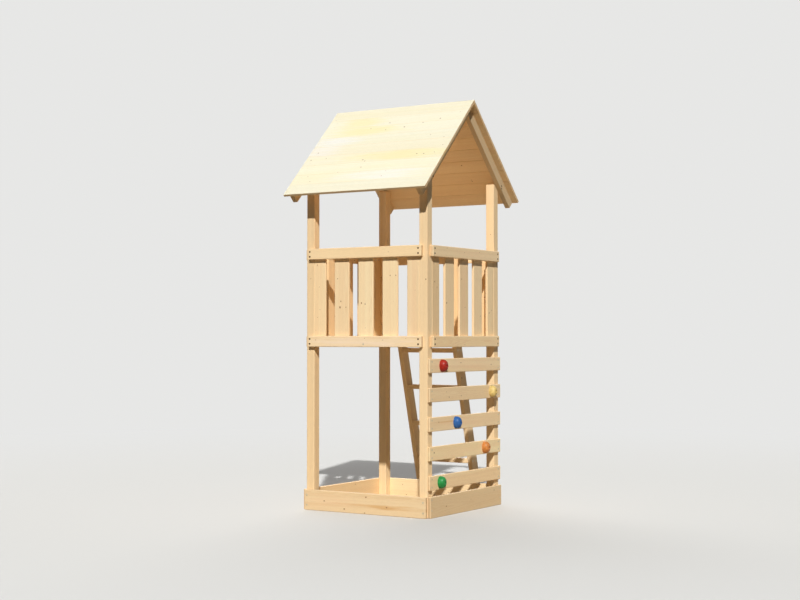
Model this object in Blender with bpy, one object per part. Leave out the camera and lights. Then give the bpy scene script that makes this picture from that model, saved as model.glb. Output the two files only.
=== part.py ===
"""Wooden play tower on four posts.

A sandbox stands round the feet of the posts and a deck with slatted railings hangs
between them. Climbing boards with moulded holds cover the right side, a ladder leans
on the back, and two slopes of tongue-and-groove boards make the roof.

Units are metres. The ground is z = 0, +X points to the climbing wall and +Y to the
ladder. The origin is on the ground, under the middle of the whole outline.
"""

import math

import bmesh
import bpy
from mathutils import Matrix, Vector

# Driving dimensions: frame
TOWER_WIDTH = 1.008
POST_SECTION = 0.065
FIT_GAP = 0.0003
EDGE_CHAMFER = 0.003

# Driving dimensions: sandbox
SANDBOX_HEIGHT = 0.144
SANDBOX_THICKNESS = 0.025

# Driving dimensions: railings
RAIL_HEIGHT = 0.077
RAIL_THICKNESS = 0.028
LOWER_RAIL_BASE = 1.160
UPPER_RAIL_BASE = 1.781
SLAT_THICKNESS = 0.018
WIDE_SLAT_WIDTH = 0.123
END_SLAT_WIDTH = 0.097
WIDE_SLATS_PER_SIDE = 3
BACK_SLAT_GAP = 0.0902

# Driving dimensions: deck
JOIST_HEIGHT = 0.040
JOIST_WIDTH = 0.040
FLOOR_THICKNESS = 0.022
FLOOR_GROOVE = 0.003
FLOOR_BOARDS = 8

# Driving dimensions: climbing wall
CLIMB_BOARD_HEIGHT = 0.097
CLIMB_BOARD_THICKNESS = 0.018
CLIMB_GAP_OVER_SANDBOX = 0.043
CLIMB_GAP_UNDER_RAIL = 0.078
HOLD_HEIGHT = 0.086
HOLD_WIDTH = 0.070
HOLD_DEPTH = 0.045
HOLD_SEAT_DEPTH = 0.014
HOLD_RECESS_RADIUS = 0.0085
HOLD_FULLNESS = 0.75
HOLD_FACETS = 24

# One hold a board from the ground up: its colour, the end of the board that it is near
# (-1 front, +1 back) and its distance in from the inner face of the post there
HOLDS = (
    ("green", (0.02, 0.30, 0.10), -1, 0.073),
    ("orange", (0.72, 0.20, 0.03), 1, 0.181),
    ("blue", (0.03, 0.12, 0.50), -1, 0.287),
    ("yellow", (0.75, 0.50, 0.06), 1, 0.075),
    ("red", (0.55, 0.02, 0.02), -1, 0.097),
)

# Driving dimensions: ladder
LADDER_LEAN = math.radians(15)
LADDER_SHIFT = 0.02275
LADDER_INNER_WIDTH = 0.451
STRINGER_THICKNESS = 0.0355
STRINGER_DEPTH = 0.088
TREAD_THICKNESS = 0.035
TREAD_DEPTH = 0.085
TREAD_PITCH = 0.283
HIGHEST_TREAD_DROP = 0.015
TREAD_COUNT = 4

# Driving dimensions: roof
RIDGE_HEIGHT = 2.910
ROOF_PITCH = math.radians(44.7)
EAVE_OVERHANG = 0.172
GABLE_OVERHANG = 0.085
ROOF_BOARD_THICKNESS = 0.018
ROOF_BOARDS_PER_SLOPE = 9
ROOF_TOP_GROOVE = 0.001
ROOF_UNDERSIDE_GROOVE = 0.002
RAFTER_THICKNESS = 0.039
RAFTER_DEPTH = 0.061
RAFTER_SETBACK = 0.004
POST_TOP_DROP = 0.034

# Driving dimensions: screw holes
COUNTERSINK_RADIUS = 0.0045
SCREW_HOLE_RADIUS = 0.0025
SCREW_HOLE_SIDES = 6
SCREW_BITE = 0.035
RAIL_SCREW_SPACING = 0.035
SANDBOX_SCREW_INSET = 0.020
SANDBOX_SCREW_EDGE = 0.036
SIDE_SCREW_LIFT = 0.016
CLIMB_SCREW_SPACING = 0.055
TREAD_SCREW_SPACING = 0.045
JOIST_SCREW_RISE = 0.008
LADDER_SCREW_RISES = (0.012, 0.030)
RAFTER_SCREW_INSET = 0.014
RAFTER_SCREW_DROPS = (0.010, 0.028)
HOLD_SCREW_HOLE_RADIUS = 0.0035
HOLD_SCREW_BITE = 0.015

# Distance of the rail screws from the left and the right end of the rails on each side
RAIL_SCREW_INSETS = {
    "front": (0.012, 0.024),
    "right": (0.024, 0.022),
    "back": (0.022, 0.022),
    "left": (0.022, 0.022),
}

# Frame lines worked out from the driving dimensions
HALF = TOWER_WIDTH / 2
POST_INNER = HALF - POST_SECTION
POST_MIDDLE = HALF - POST_SECTION / 2
RAIL_BACK = HALF + FIT_GAP
RAIL_FRONT = RAIL_BACK + RAIL_THICKNESS
SLAT_BACK = HALF - SLAT_THICKNESS
JOIST_TOP = LOWER_RAIL_BASE + JOIST_HEIGHT
UPPER_RAIL_TOP = UPPER_RAIL_BASE + RAIL_HEIGHT

# Climbing wall lines: equal steps from the lowest board to the highest
LOWEST_CLIMB_BOARD_BASE = SANDBOX_HEIGHT + CLIMB_GAP_OVER_SANDBOX
HIGHEST_CLIMB_BOARD_BASE = LOWER_RAIL_BASE - CLIMB_GAP_UNDER_RAIL - CLIMB_BOARD_HEIGHT
CLIMB_BOARD_PITCH = (HIGHEST_CLIMB_BOARD_BASE - LOWEST_CLIMB_BOARD_BASE) / (len(HOLDS) - 1)

# Roof lines: a slope is measured down from the ridge and out from its top face
ROOF_RUN = HALF + EAVE_OVERHANG
SLOPE_LENGTH = ROOF_RUN / math.cos(ROOF_PITCH)
RAFTER_TOP_OUT = -(ROOF_BOARD_THICKNESS + FIT_GAP)
UNDERSIDE_AT_POST = (
    RIDGE_HEIGHT
    - ROOF_BOARD_THICKNESS / math.cos(ROOF_PITCH)
    - HALF * math.tan(ROOF_PITCH)
)
POST_TOP = UNDERSIDE_AT_POST - POST_TOP_DROP

# Ladder lines: the plumb cut of the stringers rests on the face of the lower back rail
LADDER_REST = RAIL_FRONT + FIT_GAP
STRINGER_TOP = LOWER_RAIL_BASE + RAIL_HEIGHT
STRINGER_WIDTH_LEVEL = STRINGER_DEPTH / math.cos(LADDER_LEAN)
ENTRANCE_RIGHT = POST_INNER - FIT_GAP - END_SLAT_WIDTH - BACK_SLAT_GAP - WIDE_SLAT_WIDTH
LADDER_MIDDLE = (ENTRANCE_RIGHT - POST_INNER) / 2 + LADDER_SHIFT
HIGHEST_TREAD_TOP = LOWER_RAIL_BASE - HIGHEST_TREAD_DROP
LOWEST_TREAD_TOP = HIGHEST_TREAD_TOP - (TREAD_COUNT - 1) * TREAD_PITCH

SIDES = ("front", "right", "back", "left")
CORNERS = ("front_right", "back_right", "back_left", "front_left")


def ladder_inner_face(height):
    """Distance along Y of the stringers' tower-side edge at a height."""
    return LADDER_REST + (LOWER_RAIL_BASE - height) * math.tan(LADDER_LEAN)


LADDER_FOOT = ladder_inner_face(0) + STRINGER_WIDTH_LEVEL
OUTLINE_MIDDLE = (LADDER_FOOT - ROOF_RUN) / 2

drill_holes = {}


def clear_scene():
    """Removes the objects of the start file."""
    for item in list(bpy.data.objects):
        bpy.data.objects.remove(item, do_unlink=True)


def make_material(name, colour, roughness, metallic=0.0):
    """A plain Principled material."""
    material = bpy.data.materials.new(name)
    material.use_nodes = True
    shader = material.node_tree.nodes["Principled BSDF"]
    shader.inputs["Base Color"].default_value = (*colour, 1.0)
    shader.inputs["Roughness"].default_value = roughness
    shader.inputs["Metallic"].default_value = metallic
    return material


def finish(name, shape, material, chamfer=0.0):
    """Turns a bmesh into a named object under the tower's centre empty."""
    bmesh.ops.recalc_face_normals(shape, faces=shape.faces)
    if shape.calc_volume(signed=True) < 0:
        bmesh.ops.reverse_faces(shape, faces=shape.faces)
    mesh = bpy.data.meshes.new(name)
    shape.to_mesh(mesh)
    shape.free()
    piece = bpy.data.objects.new(name, mesh)
    bpy.context.collection.objects.link(piece)
    piece.parent = tower_centre
    if material:
        mesh.materials.append(material)
    if chamfer:
        bevel = piece.modifiers.new("eased_edges", "BEVEL")
        bevel.width = chamfer
        bevel.segments = 1
        bevel.limit_method = "ANGLE"
    return piece


def add_prism(shape, outline, axis, low, high):
    """Adds a straight prism: an outline in YZ drawn along X, or one in XY along Z."""
    def corner(pair, distance):
        return (distance, *pair) if axis == "X" else (*pair, distance)

    near = [shape.verts.new(corner(pair, low)) for pair in outline]
    far = [shape.verts.new(corner(pair, high)) for pair in outline]
    shape.faces.new(near)
    shape.faces.new(far[::-1])
    for index, vertex in enumerate(near):
        shape.faces.new((vertex, far[index], far[index - 1], near[index - 1]))


def add_box(shape, low, high):
    """Adds an upright box between two opposite corners."""
    outline = ((low[0], low[1]), (high[0], low[1]), (high[0], high[1]), (low[0], high[1]))
    add_prism(shape, outline, "Z", low[2], high[2])


def box(name, low, high, material):
    """A single timber with eased edges."""
    shape = bmesh.new()
    add_box(shape, low, high)
    return finish(name, shape, material, EDGE_CHAMFER)


def prism(name, outline, low, high, material):
    """A single timber cut to an outline in YZ, with eased edges."""
    shape = bmesh.new()
    add_prism(shape, outline, "X", low, high)
    return finish(name, shape, material, EDGE_CHAMFER)


def side_corners(side, along, out):
    """Turns ranges along and out from one side of the tower into X and Y ranges."""
    turn = Matrix.Rotation(math.radians(90) * SIDES.index(side), 2)
    ends = [turn @ Vector((a, -o)) for a, o in zip(along, out)]
    lows = [min(values) for values in zip(*ends)]
    highs = [max(values) for values in zip(*ends)]
    return lows, highs


def side_box(name, side, along, out, heights, material):
    """A timber placed by its range along a side, out from the tower and in height."""
    lows, highs = side_corners(side, along, out)
    return box(name, (*lows, heights[0]), (*highs, heights[1]), material)


def side_point(side, along, out, height):
    """A point placed the same way."""
    turn = Matrix.Rotation(math.radians(90) * SIDES.index(side), 3, "Z")
    return turn @ Vector((along, -out, height))


def side_inward(side):
    """The direction from a side to the middle of the tower."""
    return side_point(side, 0, -1, 0)


def end_post(side, end):
    """Name of the post at the left (-1) or right (+1) end of a side seen from outside."""
    corner = SIDES.index(side) + (0 if end > 0 else -1)
    return "post_" + CORNERS[corner]


def add_turned(shape, profile, sides, start, direction):
    """Adds a closed turned shape: rings of (radius, depth) from start along direction."""
    turn = Vector(direction).to_track_quat("Z", "Y").to_matrix().to_4x4()
    frame = Matrix.Translation(start) @ turn
    rings = []
    for radius, depth in profile:
        ring = []
        for step in range(sides):
            angle = math.tau * step / sides
            place = Vector((radius * math.cos(angle), radius * math.sin(angle), depth))
            ring.append(shape.verts.new(frame @ place))
        rings.append(ring)
    shape.faces.new(rings[0])
    shape.faces.new(rings[-1][::-1])
    for upper, lower in zip(rings, rings[1:]):
        for step in range(sides):
            shape.faces.new((upper[step - 1], upper[step], lower[step], lower[step - 1]))


def screw_hole_profile(length):
    """Countersunk hole, started a little outside the wood."""
    return (
        (COUNTERSINK_RADIUS, -COUNTERSINK_RADIUS),
        (COUNTERSINK_RADIUS, 0),
        (SCREW_HOLE_RADIUS, COUNTERSINK_RADIUS - SCREW_HOLE_RADIUS),
        (SCREW_HOLE_RADIUS, length),
    )


def note_screw(start, direction, length, pieces):
    """Notes the hole of one wood screw in every piece that the screw passes."""
    for piece in pieces:
        noted = (screw_hole_profile(length), start, direction)
        drill_holes.setdefault(piece, []).append(noted)


def drill_all():
    """Cuts the noted holes with one hidden cutter for each piece."""
    for piece, holes in drill_holes.items():
        shape = bmesh.new()
        for profile, start, direction in holes:
            add_turned(shape, profile, SCREW_HOLE_SIDES, start, direction)
        cut_away(piece, shape)


def cut_away(piece, shape):
    """Cuts a shape out of a named piece with a hidden cutter."""
    cutter = finish(f"cutter_{len(bpy.data.objects)}", shape, None)
    cutter.hide_render = True
    cutter.display_type = "WIRE"
    cut = bpy.data.objects[piece].modifiers.new("cut", "BOOLEAN")
    cut.operation = "DIFFERENCE"
    cut.object = cutter


def build_posts():
    """Four square posts, standing on the ground."""
    for corner in CORNERS:
        x_sign = 1 if corner.endswith("right") else -1
        y_sign = 1 if corner.startswith("back") else -1
        xs = sorted((x_sign * POST_INNER, x_sign * HALF))
        ys = sorted((y_sign * POST_INNER, y_sign * HALF))
        box("post_" + corner, (xs[0], ys[0], 0), (xs[1], ys[1], POST_TOP), wood)


def build_sandbox():
    """Four equal boards round the feet, each ending flush with the posts."""
    out = (HALF + FIT_GAP, HALF + FIT_GAP + SANDBOX_THICKNESS)
    for side in SIDES:
        side_box("sandbox_board_" + side, side, (-HALF, HALF), out, (0, SANDBOX_HEIGHT), wood)
        lift = SIDE_SCREW_LIFT if side in ("left", "right") else 0
        heights = (SANDBOX_SCREW_EDGE + lift, SANDBOX_HEIGHT - SANDBOX_SCREW_EDGE + lift)
        for end in (-1, 1):
            for height in heights:
                start_point = side_point(side, end * (HALF - SANDBOX_SCREW_INSET), out[1], height)
                length = SANDBOX_THICKNESS + FIT_GAP + SCREW_BITE
                pieces = ("sandbox_board_" + side, end_post(side, end))
                note_screw(start_point, side_inward(side), length, pieces)


def build_rails():
    """Lower and upper rails on the outer faces of the posts, two screws at each end."""
    for level, base in (("lower", LOWER_RAIL_BASE), ("upper", UPPER_RAIL_BASE)):
        for side in SIDES:
            name = f"{level}_rail_{side}"
            heights = (base, base + RAIL_HEIGHT)
            along = (-POST_MIDDLE, POST_MIDDLE)
            side_box(name, side, along, (RAIL_BACK, RAIL_FRONT), heights, wood)
            for end, inset in zip((-1, 1), RAIL_SCREW_INSETS[side]):
                for step in (-1, 1):
                    height = base + (RAIL_HEIGHT + step * RAIL_SCREW_SPACING) / 2
                    place = end * (POST_MIDDLE - inset)
                    start = side_point(side, place, RAIL_FRONT, height)
                    length = RAIL_THICKNESS + FIT_GAP + SCREW_BITE
                    note_screw(start, side_inward(side), length, (name, end_post(side, end)))


def slat_starts():
    """Left edge and width of each slat of a full side, with equal gaps between them."""
    widths = [END_SLAT_WIDTH] + [WIDE_SLAT_WIDTH] * WIDE_SLATS_PER_SIDE + [END_SLAT_WIDTH]
    free = 2 * (POST_INNER - FIT_GAP)
    gap = (free - sum(widths)) / (len(widths) - 1)
    start = -free / 2
    for width in widths:
        yield start, width
        start += width + gap


def build_slats():
    """Slats behind the rails, flush with the posts. The back leaves the entrance open."""
    heights = (LOWER_RAIL_BASE, UPPER_RAIL_TOP)
    out = (SLAT_BACK, HALF)
    for side in ("front", "right", "left"):
        for number, (start, width) in enumerate(slat_starts(), 1):
            side_box(f"slat_{side}_{number}", side, (start, start + width), out, heights, wood)
    end_start = -(POST_INNER - FIT_GAP)
    side_box("slat_back_1", "back", (end_start, end_start + END_SLAT_WIDTH), out, heights, wood)
    entrance_slat = (-ENTRANCE_RIGHT - WIDE_SLAT_WIDTH, -ENTRANCE_RIGHT)
    side_box("slat_back_2", "back", entrance_slat, out, heights, wood)


def build_deck():
    """Three joists under a floor of butted boards. The floor reaches into the entrance."""
    reach = SLAT_BACK - FIT_GAP
    between = POST_INNER - FIT_GAP
    for name, sign in (("left", -1), ("right", 1)):
        xs = sorted((sign * between, sign * (between - JOIST_WIDTH)))
        low = (xs[0], -reach, LOWER_RAIL_BASE)
        box("deck_joist_" + name, low, (xs[1], reach, JOIST_TOP), wood)
    middle_low = (-JOIST_WIDTH / 2, -reach, LOWER_RAIL_BASE)
    box("deck_joist_middle", middle_low, (JOIST_WIDTH / 2, HALF, JOIST_TOP), wood)

    sill_end = ENTRANCE_RIGHT - FIT_GAP
    outline = (
        (-between, -reach), (between, -reach), (between, -between), (reach, -between),
        (reach, between), (between, between), (between, reach), (sill_end, reach),
        (sill_end, HALF), (-between, HALF), (-between, between), (-reach, between),
        (-reach, -between), (-between, -between),
    )
    base = JOIST_TOP + FIT_GAP
    top = base + FLOOR_THICKNESS
    shape = bmesh.new()
    add_prism(shape, outline, "Z", base, top)
    finish("deck_floor", shape, wood, EDGE_CHAMFER)

    grooves = bmesh.new()
    for joint in range(1, FLOOR_BOARDS):
        place = reach * (2 * joint / FLOOR_BOARDS - 1)
        section = (
            (place - 2 * FLOOR_GROOVE, top + FLOOR_GROOVE),
            (place, top - FLOOR_GROOVE),
            (place + 2 * FLOOR_GROOVE, top + FLOOR_GROOVE),
        )
        add_prism(grooves, section, "X", -HALF, HALF)
    cut_away("deck_floor", grooves)


def drill_deck():
    """Side joists screwed to the posts, the middle joist screwed through the rails."""
    height = LOWER_RAIL_BASE + JOIST_SCREW_RISE
    for x_sign in (-1, 1):
        for y_sign in (-1, 1):
            inner_face = x_sign * (POST_INNER - FIT_GAP - JOIST_WIDTH)
            start = Vector((inner_face, y_sign * POST_MIDDLE, height))
            depth_name = "back" if y_sign > 0 else "front"
            side_name = "right" if x_sign > 0 else "left"
            pieces = ("deck_joist_" + side_name, f"post_{depth_name}_{side_name}")
            note_screw(start, (x_sign, 0, 0), JOIST_WIDTH + FIT_GAP + SCREW_BITE, pieces)
    middle = LOWER_RAIL_BASE + JOIST_HEIGHT / 2
    middle_slat = f"slat_front_{2 + WIDE_SLATS_PER_SIDE // 2}"
    through_rail = RAIL_THICKNESS + FIT_GAP + SCREW_BITE
    for side, length, passed in (
        ("front", through_rail + SLAT_THICKNESS + FIT_GAP, (middle_slat,)),
        ("back", through_rail, ()),
    ):
        pieces = (f"lower_rail_{side}", "deck_joist_middle", *passed)
        note_screw(side_point(side, 0, RAIL_FRONT, middle), side_inward(side), length, pieces)


def build_climbing_wall():
    """Five boards across the right side, each with a moulded hold screwed on."""
    out = (HALF + FIT_GAP, HALF + FIT_GAP + CLIMB_BOARD_THICKNESS)
    for number, (colour_name, colour, near_end, inset) in enumerate(HOLDS, 1):
        board = f"climbing_board_{number}"
        base = LOWEST_CLIMB_BOARD_BASE + (number - 1) * CLIMB_BOARD_PITCH
        heights = (base, base + CLIMB_BOARD_HEIGHT)
        side_box(board, "right", (-HALF, HALF), out, heights, wood)
        middle = base + CLIMB_BOARD_HEIGHT / 2
        for end in (-1, 1):
            for step in (-1, 1):
                height = middle + step * CLIMB_SCREW_SPACING / 2
                start = side_point("right", end * POST_MIDDLE, out[1], height)
                length = CLIMB_BOARD_THICKNESS + FIT_GAP + SCREW_BITE
                note_screw(start, side_inward("right"), length, (board, end_post("right", end)))
        plastic = make_material("plastic_" + colour_name, colour, 0.35)
        along = near_end * (POST_INNER - inset)
        seat = side_point("right", along, out[1] + FIT_GAP, middle)
        build_hold("hold_" + colour_name, seat, plastic)
        hole = ((HOLD_SCREW_HOLE_RADIUS, -HOLD_SCREW_HOLE_RADIUS),
                (HOLD_SCREW_HOLE_RADIUS, HOLD_SCREW_BITE))
        drill_holes.setdefault(board, []).append((hole, seat, side_inward("right")))


def build_hold(name, seat, plastic):
    """Egg-shaped dome with a stepped hole for its screw. The dome rises along +X."""
    dome_steps = 6
    steepest = math.radians(78)
    rings = []
    for step in range(dome_steps):
        angle = steepest * step / (dome_steps - 1)
        spread = math.cos(angle) ** HOLD_FULLNESS
        rise = math.sin(angle) ** HOLD_FULLNESS
        rings.append((HOLD_WIDTH / 2 * spread, HOLD_HEIGHT / 2 * spread, HOLD_DEPTH * rise))
    shank = HOLD_SCREW_HOLE_RADIUS
    seat_height = HOLD_DEPTH - HOLD_SEAT_DEPTH
    rings.append((HOLD_RECESS_RADIUS, HOLD_RECESS_RADIUS, HOLD_DEPTH))
    rings.append((HOLD_RECESS_RADIUS, HOLD_RECESS_RADIUS, seat_height))
    rings.append((shank, shank, seat_height))
    rings.append((shank, shank, 0))

    shape = bmesh.new()
    loops = []
    for width, height, depth in rings:
        loop = []
        for step in range(HOLD_FACETS):
            angle = math.tau * step / HOLD_FACETS
            place = (depth, width * math.cos(angle), height * math.sin(angle))
            loop.append(shape.verts.new(place))
        loops.append(loop)
    for index, loop in enumerate(loops):
        before = loops[index - 1]
        for step in range(HOLD_FACETS):
            shape.faces.new((before[step - 1], before[step], loop[step], loop[step - 1]))
    hold = finish(name, shape, plastic)
    hold.location = seat
    hold.data.shade_smooth()
    hold.data.set_sharp_from_angle(angle=math.radians(40))


def build_ladder():
    """Two leaning stringers with plumb-cut heads and level treads between them."""
    head = LOWER_RAIL_BASE
    outline = (
        (ladder_inner_face(0), 0),
        (ladder_inner_face(head), head),
        (LADDER_REST, STRINGER_TOP),
        (ladder_inner_face(STRINGER_TOP) + STRINGER_WIDTH_LEVEL, STRINGER_TOP),
        (LADDER_FOOT, 0),
    )
    inner = LADDER_INNER_WIDTH / 2
    for name, sign in (("left", -1), ("right", 1)):
        stringer = "ladder_stringer_" + name
        faces = sorted((LADDER_MIDDLE + sign * inner,
                        LADDER_MIDDLE + sign * (inner + STRINGER_THICKNESS)))
        prism(stringer, outline, *faces, wood)
        for rise in LADDER_SCREW_RISES:
            start = Vector((sum(faces) / 2, RAIL_BACK, LOWER_RAIL_BASE + rise))
            length = RAIL_THICKNESS + FIT_GAP + SCREW_BITE
            note_screw(start, (0, 1, 0), length, ("lower_rail_back", stringer))

    reach = inner - FIT_GAP
    for number in range(1, TREAD_COUNT + 1):
        top = LOWEST_TREAD_TOP + (number - 1) * TREAD_PITCH
        middle_height = top - TREAD_THICKNESS / 2
        middle = ladder_inner_face(middle_height) + STRINGER_WIDTH_LEVEL / 2
        low = (LADDER_MIDDLE - reach, middle - TREAD_DEPTH / 2, top - TREAD_THICKNESS)
        high = (LADDER_MIDDLE + reach, middle + TREAD_DEPTH / 2, top)
        tread = f"ladder_tread_{number}"
        box(tread, low, high, wood)
        for name, sign in (("left", -1), ("right", 1)):
            for step in (-1, 1):
                outer_face = LADDER_MIDDLE + sign * (inner + STRINGER_THICKNESS)
                place = middle + step * TREAD_SCREW_SPACING / 2
                start = Vector((outer_face, place, middle_height))
                length = STRINGER_THICKNESS + FIT_GAP + SCREW_BITE
                note_screw(start, (-sign, 0, 0), length, (tread, "ladder_stringer_" + name))


def slope_point(down, out, y_sign):
    """YZ place of a point measured down a slope and out from its top face."""
    y = down * math.cos(ROOF_PITCH) + out * math.sin(ROOF_PITCH)
    z = RIDGE_HEIGHT - down * math.sin(ROOF_PITCH) + out * math.cos(ROOF_PITCH)
    return (y_sign * y, z)


def ridge_cut(out):
    """Distance down the slope of the plumb cut under the ridge, at a depth."""
    return (FIT_GAP / 2 - out * math.sin(ROOF_PITCH)) / math.cos(ROOF_PITCH)


def roof_slope_outline(y_sign):
    """Section of one slope: boards joined tongue in groove, with a groove at each joint."""
    cover = SLOPE_LENGTH / ROOF_BOARDS_PER_SLOPE
    joints = [number * cover for number in range(1, ROOF_BOARDS_PER_SLOPE)]
    base = -ROOF_BOARD_THICKNESS
    points = [(ridge_cut(base), base), (ridge_cut(0), 0)]
    for joint in joints:
        points.append((joint - ROOF_TOP_GROOVE, 0))
        points.append((joint, -ROOF_TOP_GROOVE))
        points.append((joint + ROOF_TOP_GROOVE, 0))
    points += [(SLOPE_LENGTH, 0), (SLOPE_LENGTH, base)]
    for joint in reversed(joints):
        points.append((joint + ROOF_UNDERSIDE_GROOVE, base))
        points.append((joint, base + ROOF_UNDERSIDE_GROOVE))
        points.append((joint - ROOF_UNDERSIDE_GROOVE, base))
    return [slope_point(down, out, y_sign) for down, out in points]


def build_roof():
    """Two board slopes on two pairs of rafters, which flank the posts."""
    gable = HALF + GABLE_OVERHANG
    rafter_base_out = RAFTER_TOP_OUT - RAFTER_DEPTH
    rafter_end = SLOPE_LENGTH - RAFTER_SETBACK
    for slope, y_sign in (("front", -1), ("back", 1)):
        boards = bmesh.new()
        add_prism(boards, roof_slope_outline(y_sign), "X", -gable, gable)
        finish("roof_slope_" + slope, boards, roof_wood)
        outline = [
            slope_point(ridge_cut(RAFTER_TOP_OUT), RAFTER_TOP_OUT, y_sign),
            slope_point(rafter_end, RAFTER_TOP_OUT, y_sign),
            slope_point(rafter_end, rafter_base_out, y_sign),
            slope_point(ridge_cut(rafter_base_out), rafter_base_out, y_sign),
        ]
        for side, x_sign in (("left", -1), ("right", 1)):
            outer_face = x_sign * (HALF + FIT_GAP + RAFTER_THICKNESS)
            faces = sorted((x_sign * (HALF + FIT_GAP), outer_face))
            rafter = f"rafter_{slope}_{side}"
            prism(rafter, outline, *faces, wood)
            for drop in RAFTER_SCREW_DROPS:
                place = y_sign * (HALF - RAFTER_SCREW_INSET)
                start = Vector((outer_face, place, POST_TOP - drop))
                length = RAFTER_THICKNESS + FIT_GAP + SCREW_BITE
                note_screw(start, (-x_sign, 0, 0), length, (rafter, f"post_{slope}_{side}"))


clear_scene()
tower_centre = bpy.data.objects.new("tower_centre", None)
tower_centre.location = (0, -OUTLINE_MIDDLE, 0)
bpy.context.collection.objects.link(tower_centre)
wood = make_material("planed_spruce", (0.78, 0.58, 0.36), 0.6)
roof_wood = make_material("roof_spruce", (0.90, 0.84, 0.62), 0.6)

build_posts()
build_sandbox()
build_rails()
build_slats()
build_deck()
drill_deck()
build_climbing_wall()
build_ladder()
build_roof()
drill_all()
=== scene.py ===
"""Play tower of planed spruce with a climbing wall, a ladder and a boarded roof.

The CAD timbers keep their shapes and get wood of their own, each with its own grain and
knots. The roof boards, deck boards, holds, bolts, screws and nails are modelled here.
Units are metres. +X points to the climbing wall and +Y to the ladder.
"""

import math
import random

import bmesh
import bpy
from mathutils import Matrix, Vector, noise


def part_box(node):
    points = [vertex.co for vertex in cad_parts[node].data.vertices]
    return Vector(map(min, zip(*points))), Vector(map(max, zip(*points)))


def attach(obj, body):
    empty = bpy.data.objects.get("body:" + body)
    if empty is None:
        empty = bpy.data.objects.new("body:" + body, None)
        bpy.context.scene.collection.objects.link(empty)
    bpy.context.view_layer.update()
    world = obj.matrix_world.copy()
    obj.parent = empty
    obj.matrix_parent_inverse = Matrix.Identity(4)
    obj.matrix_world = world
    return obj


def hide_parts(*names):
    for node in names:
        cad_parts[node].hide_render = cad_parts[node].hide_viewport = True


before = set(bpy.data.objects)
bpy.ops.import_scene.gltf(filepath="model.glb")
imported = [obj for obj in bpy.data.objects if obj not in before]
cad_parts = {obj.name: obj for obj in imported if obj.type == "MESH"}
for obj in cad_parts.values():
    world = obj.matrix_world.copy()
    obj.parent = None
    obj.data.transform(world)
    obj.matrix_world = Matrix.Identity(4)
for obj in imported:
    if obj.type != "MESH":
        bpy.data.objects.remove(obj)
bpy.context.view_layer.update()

ALONG_X = Vector((1, 0, 0))
ALONG_Y = Vector((0, 1, 0))
UPRIGHT = Vector((0, 0, 1))
OUTWARD = {"front": -ALONG_Y, "right": ALONG_X, "back": ALONG_Y, "left": -ALONG_X}
SLOPES = {"front": -1, "back": 1}
ENDS = ("left", "right")

# Edges past these angles stay sharp where a piece is shaded smooth
SHARP_ANGLE = math.radians(35)
HOLD_SHARP_ANGLE = math.radians(40)
MERGE_DISTANCE = 1e-6

# Tower lines, read from the CAD posts
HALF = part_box("post_front_right")[1].x
POST_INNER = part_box("post_front_right")[0].x
POST_MIDDLE = (HALF + POST_INNER) / 2
TOWER_Y = (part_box("post_front_right")[0].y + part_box("post_back_right")[1].y) / 2
FIT_GAP = 0.0003
LADDER_LEAN = math.radians(15)

# Roof, as the CAD slopes have it
ROOF_LOW, ROOF_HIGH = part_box("roof_slope_front")
RIDGE_HEIGHT = ROOF_HIGH.z
GABLE = ROOF_HIGH.x
ROOF_RUN = TOWER_Y - ROOF_LOW.y
ROOF_PITCH = math.radians(44.7)
ROOF_THICKNESS = 0.018
ROOF_BOARDS = 9
SLOPE_LENGTH = ROOF_RUN / math.cos(ROOF_PITCH)
BOARD_COVER = SLOPE_LENGTH / ROOF_BOARDS
RIDGE_GAP = 0.00015
JOINT_GAP = 0.00015
TOP_ARRIS = 0.0005
UNDERSIDE_ARRIS = 0.002
TONGUE_REACH = 0.005
TONGUE_HALF = 0.0025
TONGUE_TAPER = 0.0005
GROOVE_SLACK = 0.0003
ROOF_END_PLAY = 0.0012

# Deck
DECK_BOARDS = 8
DECK_REACH = TOWER_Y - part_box("slat_front_1")[1].y - FIT_GAP
DECK_PITCH = 2 * DECK_REACH / DECK_BOARDS
DECK_ARRIS = 0.002
DECK_GAP = 0.0004
DECK_SCREW_SHARES = (0.28, 0.72)
DECK_KNOTS = 2
DECK_KNOT_REACH = 0.4
DECK_KNOT_PLAY = 0.04

# Screws and nails
HEAD_RADIUS = 0.0068
HEAD_PROUD = 0.0005
SOCKET_RADIUS = 0.0021
SOCKET_DEPTH = 0.0012
SOCKET_LOBES = 6
SOCKET_LOBE_SHARE = 0.16
NAIL_RADIUS = 0.0024
NAIL_PROUD = 0.0004
NAIL_SHARES = (0.25, 0.75)

# Screw places, as the CAD holes have them
RAIL_SCREW_INSETS = {
    "front": (0.012, 0.024), "right": (0.024, 0.022),
    "back": (0.022, 0.022), "left": (0.022, 0.022),
}
RAIL_SCREW_SPACING = 0.035
SANDBOX_SCREW_REACH = HALF - 0.020
SANDBOX_SCREW_EDGE = 0.036
SANDBOX_SIDE_LIFT = 0.016
CLIMB_SCREW_SPACING = 0.055
TREAD_SCREW_SPACING = 0.045
JOIST_SCREW_RISE = 0.008
LADDER_SCREW_RISES = (0.012, 0.030)
RAFTER_SCREW_REACH = HALF - 0.014
RAFTER_SCREW_DROPS = (0.010, 0.028)

# Screws that hold the slats, seen from inside
SLAT_SCREW_INSET = 0.028
SLAT_SCREW_RISE = 0.018

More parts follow.
